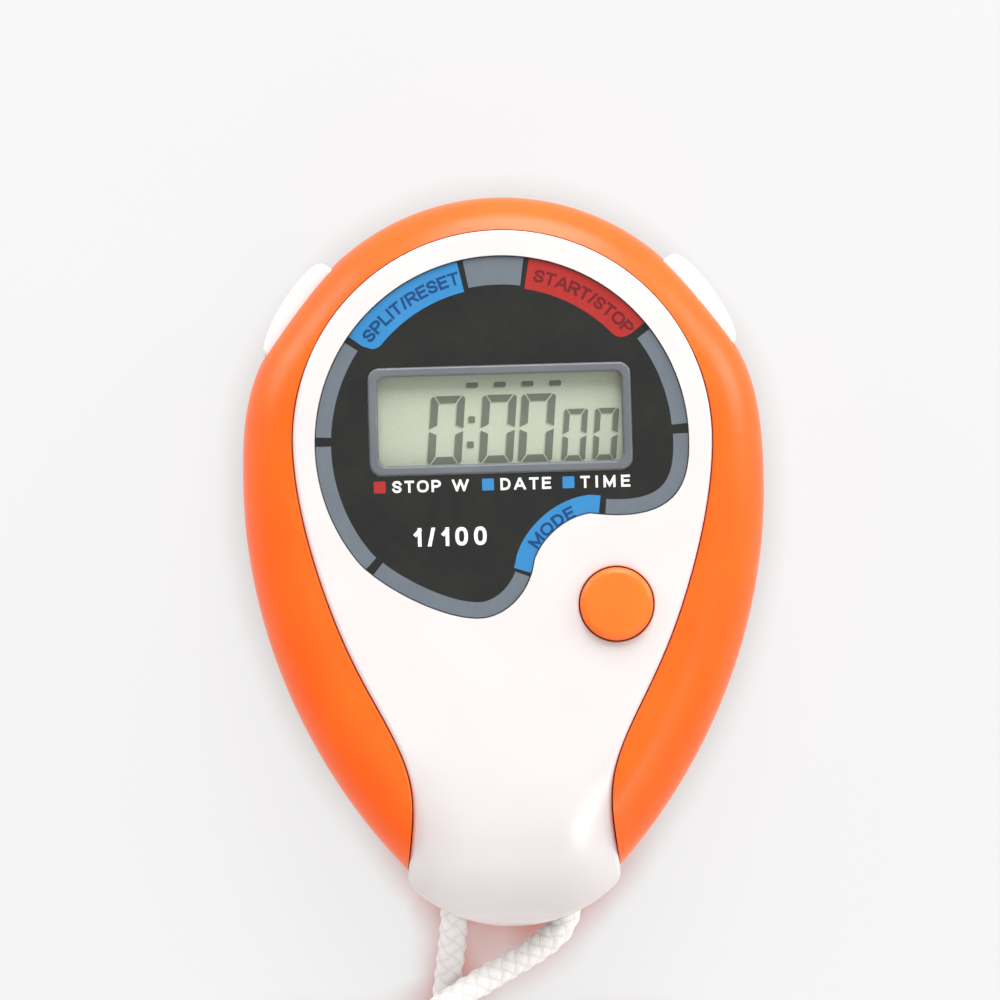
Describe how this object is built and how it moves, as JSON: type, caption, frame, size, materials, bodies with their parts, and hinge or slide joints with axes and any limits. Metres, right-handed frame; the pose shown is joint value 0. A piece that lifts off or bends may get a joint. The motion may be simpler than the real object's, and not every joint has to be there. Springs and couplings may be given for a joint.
{
  "type": "digital stopwatch",
  "caption": "Hand-held digital sports stopwatch with a pear-shaped two-colour case, LCD face, two side push buttons, a mode button, a coin-slot battery hatch and a corded neck lanyard.",
  "frame": {"origin": "on the back face, under the middle of the case's outline, the lanyard left out", "axes": "+Z out of the face, +Y towards twelve o'clock (away from the neck), +X to the right of the face"},
  "size_m": [0.0636, 0.1361, 0.0184],
  "materials": {
    "white_shell": "glossy white moulded ABS",
    "orange_shell": "satin orange moulded ABS",
    "printed_label": "charcoal printed film with grey, blue and red areas",
    "grey_bezel": "satin grey moulded frame",
    "clear_window": "clear acrylic",
    "lcd": "pale grey-green polariser on glass",
    "reflector_foil": "satin reflective film",
    "white_inner": "unpolished white plastic",
    "black_inner": "black plastic",
    "conductive_rubber": "matte silicone",
    "seal_rubber": "black rubber",
    "circuit_board": "green solder mask",
    "epoxy": "black epoxy",
    "ceramic": "pale ceramic",
    "brass": "rolled brass",
    "steel": "bright nickel-plated steel",
    "screw_steel": "zinc-plated steel",
    "white_button": "glossy white moulded ABS",
    "orange_button": "satin orange moulded ABS",
    "braided_cord": "white braided polyester",
    "tie_plastic": "grey plastic tie"
  },
  "bodies": {
    "case": {"rear_case": "white_shell", "front_case": "orange_shell", "front_panel": "white_shell", "face_label": "printed_label", "lcd_bezel": "grey_bezel", "lcd_window": "clear_window", "lcd_glass": "lcd", "lcd_reflector": "reflector_foil", "lcd_holder": "white_inner", "zebra_strip_upper": "conductive_rubber", "zebra_strip_lower": "conductive_rubber", "main_pcb": "circuit_board", "chip_blob": "epoxy", "quartz_crystal": "steel", "capacitor_1": "ceramic", "capacitor_2": "ceramic", "resistor": "epoxy", "battery_cell": "steel", "battery_holder": "black_inner", "battery_contact_positive": "steel", "battery_contact_negative": "steel", "piezo_disc": "brass", "piezo_ceramic": "ceramic", "buzzer_spring_1": "steel", "buzzer_spring_2": "steel", "leaf_spring_start_stop": "steel", "leaf_spring_split_reset": "steel", "mode_dome_switch": "conductive_rubber", "case_screw_1": "screw_steel", "case_screw_2": "screw_steel", "case_screw_3": "screw_steel", "case_screw_4": "screw_steel", "case_screw_5": "screw_steel", "pcb_screw_1": "screw_steel", "pcb_screw_2": "screw_steel", "pcb_screw_3": "screw_steel", "lanyard_strand_left": "braided_cord", "lanyard_strand_right": "braided_cord", "lanyard_strand_tail": "braided_cord", "lanyard_coil": "braided_cord", "lanyard_knot": "braided_cord", "lanyard_tie": "tie_plastic"},
    "start_stop_button": {"button_start_stop": "white_button"},
    "split_reset_button": {"button_split_reset": "white_button"},
    "mode_button": {"button_mode": "orange_button"},
    "battery_hatch": {"battery_cover": "white_shell", "battery_cover_seal": "seal_rubber"}
  },
  "joints": [
    {"name": "start_stop_press", "type": "slide", "parent": "case", "child": "start_stop_button", "axis": [-0.8339, -0.5519, 0], "range_m": [0, 0.0012], "stiffness_N_per_m": 1500, "springref_m": -0.0004, "deforming": ["leaf_spring_start_stop"]},
    {"name": "split_reset_press", "type": "slide", "parent": "case", "child": "split_reset_button", "axis": [0.8339, -0.5519, 0], "range_m": [0, 0.0012], "stiffness_N_per_m": 1500, "springref_m": -0.0004, "deforming": ["leaf_spring_split_reset"]},
    {"name": "mode_press", "type": "slide", "parent": "case", "child": "mode_button", "axis": [0, 0, -1], "range_m": [0, 0.0008], "stiffness_N_per_m": 1500, "springref_m": -0.0004, "deforming": ["mode_dome_switch"]},
    {"name": "battery_cover_turn", "type": "hinge", "parent": "case", "child": "battery_hatch", "pos_m": [0, 0.0174, 0.0015], "axis": [0, 0, -1], "range_deg": [0, 60]}
  ]
}
